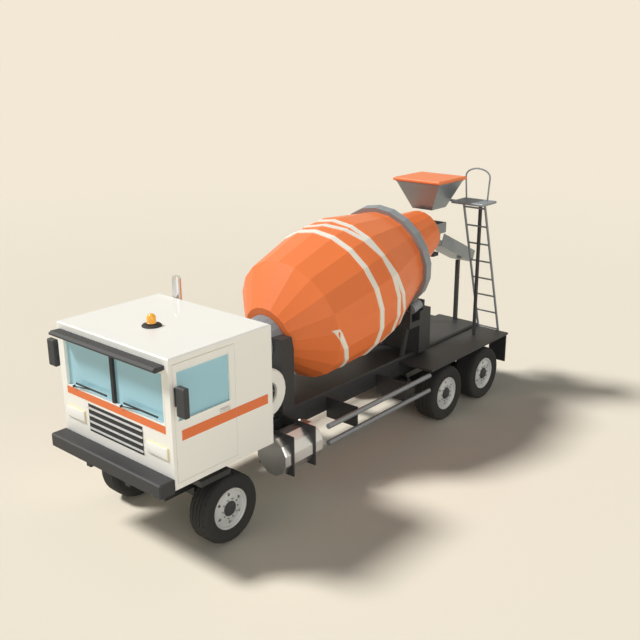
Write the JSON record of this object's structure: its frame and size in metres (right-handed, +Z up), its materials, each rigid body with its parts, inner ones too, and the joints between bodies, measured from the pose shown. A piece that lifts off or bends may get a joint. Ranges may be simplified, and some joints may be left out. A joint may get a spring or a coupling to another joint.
{
  "type": "concrete mixer truck",
  "caption": "Forward-cab concrete mixer truck with a tilted hollow drum, covered charging hopper, swinging chute, ladder and platform, on steered front and paired rear axles.",
  "frame": {"origin": "on the ground, in the middle of the truck's length and width", "axes": "+Z up, the front towards -Y, the truck's left side towards +X"},
  "size_m": [3.1, 9.44, 4.6362],
  "materials": {
    "cab_paint": "gloss",
    "drum_paint": "satin",
    "frame_paint": "satin",
    "steel_grey": "satin",
    "tyre_rubber": "matt",
    "rim_paint": "satin",
    "aluminium": "satin",
    "chrome": "polished",
    "glass": "gloss",
    "trim_plastic": "matt",
    "amber_plastic": "gloss",
    "seat_fabric": "woven"
  },
  "bodies": {
    "truck": {"chassis_frame": "frame_paint", "sub_frame": "frame_paint", "bumper": "frame_paint", "fender_left": "frame_paint", "fender_right": "frame_paint", "front_pedestal": "frame_paint", "rear_pedestal": "frame_paint", "front_axle": "frame_paint", "rear_axles": "frame_paint", "chute_frame": "frame_paint", "chute_post": "frame_paint", "tank_cradle": "frame_paint", "platform_post": "frame_paint", "engine_block": "steel_grey", "drum_gearbox": "steel_grey", "hopper": "steel_grey", "collector": "steel_grey", "ladder": "steel_grey", "platform": "steel_grey", "water_tank": "cab_paint", "cab_shell": "cab_paint", "cab_roof": "cab_paint", "fuel_tank": "aluminium", "side_guard_left": "aluminium", "side_guard_right": "aluminium", "exhaust_stack": "chrome", "windscreen": "glass", "sun_visor": "trim_plastic", "dashboard": "trim_plastic", "beacon": "amber_plastic", "seats": "seat_fabric"},
    "drum": {"drum_front": "drum_paint", "drum_belly": "drum_paint", "drum_neck": "drum_paint", "drum_ring": "steel_grey"},
    "roller_left_body": {"roller_left": "steel_grey"},
    "roller_right_body": {"roller_right": "steel_grey"},
    "lid": {"hopper_lid": "drum_paint"},
    "chute_body": {"chute": "steel_grey"},
    "door_left_body": {"door_left": "cab_paint", "door_glass_left": "glass", "mirror_left": "trim_plastic"},
    "door_right_body": {"door_right": "cab_paint", "door_glass_right": "glass", "mirror_right": "trim_plastic"},
    "knuckle_left_body": {"knuckle_left": "steel_grey"},
    "knuckle_right_body": {"knuckle_right": "steel_grey"},
    "wheel_front_left": {"tyre_front_left": "tyre_rubber", "rim_front_left": "rim_paint"},
    "wheel_front_right": {"tyre_front_right": "tyre_rubber", "rim_front_right": "rim_paint"},
    "wheel_middle_left": {"tyre_middle_left": "tyre_rubber", "rim_middle_left": "rim_paint"},
    "wheel_middle_right": {"tyre_middle_right": "tyre_rubber", "rim_middle_right": "rim_paint"},
    "wheel_rear_left": {"tyre_rear_left": "tyre_rubber", "rim_rear_left": "rim_paint"},
    "wheel_rear_right": {"tyre_rear_right": "tyre_rubber", "rim_rear_right": "rim_paint"}
  },
  "joints": [
    {"name": "steer_left", "type": "hinge", "parent": "truck", "child": "knuckle_left_body", "pos_m": [0.8, -3.428, 0.536], "axis": [0, 0, 1], "range_deg": [-33, 33]},
    {"name": "steer_right", "type": "hinge", "parent": "truck", "child": "knuckle_right_body", "pos_m": [-0.8, -3.428, 0.536], "axis": [0, 0, 1], "range_deg": [-33, 33]},
    {"name": "front_left_wheel_spin", "type": "hinge", "parent": "knuckle_left_body", "child": "wheel_front_left", "pos_m": [1.049, -3.428, 0.536], "axis": [1, 0, 0], "continuous": true},
    {"name": "front_right_wheel_spin", "type": "hinge", "parent": "knuckle_right_body", "child": "wheel_front_right", "pos_m": [-1.049, -3.428, 0.536], "axis": [1, 0, 0], "continuous": true},
    {"name": "middle_left_wheel_spin", "type": "hinge", "parent": "truck", "child": "wheel_middle_left", "pos_m": [1.051, 2.251, 0.536], "axis": [1, 0, 0], "continuous": true},
    {"name": "middle_right_wheel_spin", "type": "hinge", "parent": "truck", "child": "wheel_middle_right", "pos_m": [-1.051, 2.251, 0.536], "axis": [1, 0, 0], "continuous": true},
    {"name": "rear_left_wheel_spin", "type": "hinge", "parent": "truck", "child": "wheel_rear_left", "pos_m": [1.051, 3.638, 0.536], "axis": [1, 0, 0], "continuous": true},
    {"name": "rear_right_wheel_spin", "type": "hinge", "parent": "truck", "child": "wheel_rear_right", "pos_m": [-1.051, 3.638, 0.536], "axis": [1, 0, 0], "continuous": true},
    {"name": "drum_spin", "type": "hinge", "parent": "truck", "child": "drum", "pos_m": [0, -1.407, 2.379], "axis": [0, 0.9744, 0.225], "continuous": true},
    {"name": "roller_left_spin", "type": "hinge", "parent": "truck", "child": "roller_left_body", "pos_m": [0.55, 1.8915, 2.1392], "axis": [0, 0.9744, 0.225], "continuous": true},
    {"name": "roller_right_spin", "type": "hinge", "parent": "truck", "child": "roller_right_body", "pos_m": [-0.55, 1.8915, 2.1392], "axis": [0, 0.9744, 0.225], "continuous": true},
    {"name": "door_left_hinge", "type": "hinge", "parent": "truck", "child": "door_left_body", "pos_m": [1.25, -4.39, 2.2], "axis": [0, 0, 1], "range_deg": [-70, 0]},
    {"name": "door_right_hinge", "type": "hinge", "parent": "truck", "child": "door_right_body", "pos_m": [-1.25, -4.39, 2.2], "axis": [0, 0, 1], "range_deg": [0, 70]},
    {"name": "hopper_lid_hinge", "type": "hinge", "parent": "truck", "child": "lid", "pos_m": [0, 2.85, 4.405], "axis": [1, 0, 0], "range_deg": [0, 95]},
    {"name": "chute_swing", "type": "hinge", "parent": "truck", "child": "chute_body", "pos_m": [0, 3.48, 3], "axis": [0, 0, 1], "range_deg": [-9, 28]}
  ],
  "couplings": [
    {"joint": "steer_right", "follows": "steer_left", "ratio": 1},
    {"joint": "roller_left_spin", "follows": "drum_spin", "ratio": -10.15},
    {"joint": "roller_right_spin", "follows": "drum_spin", "ratio": -10.15}
  ]
}
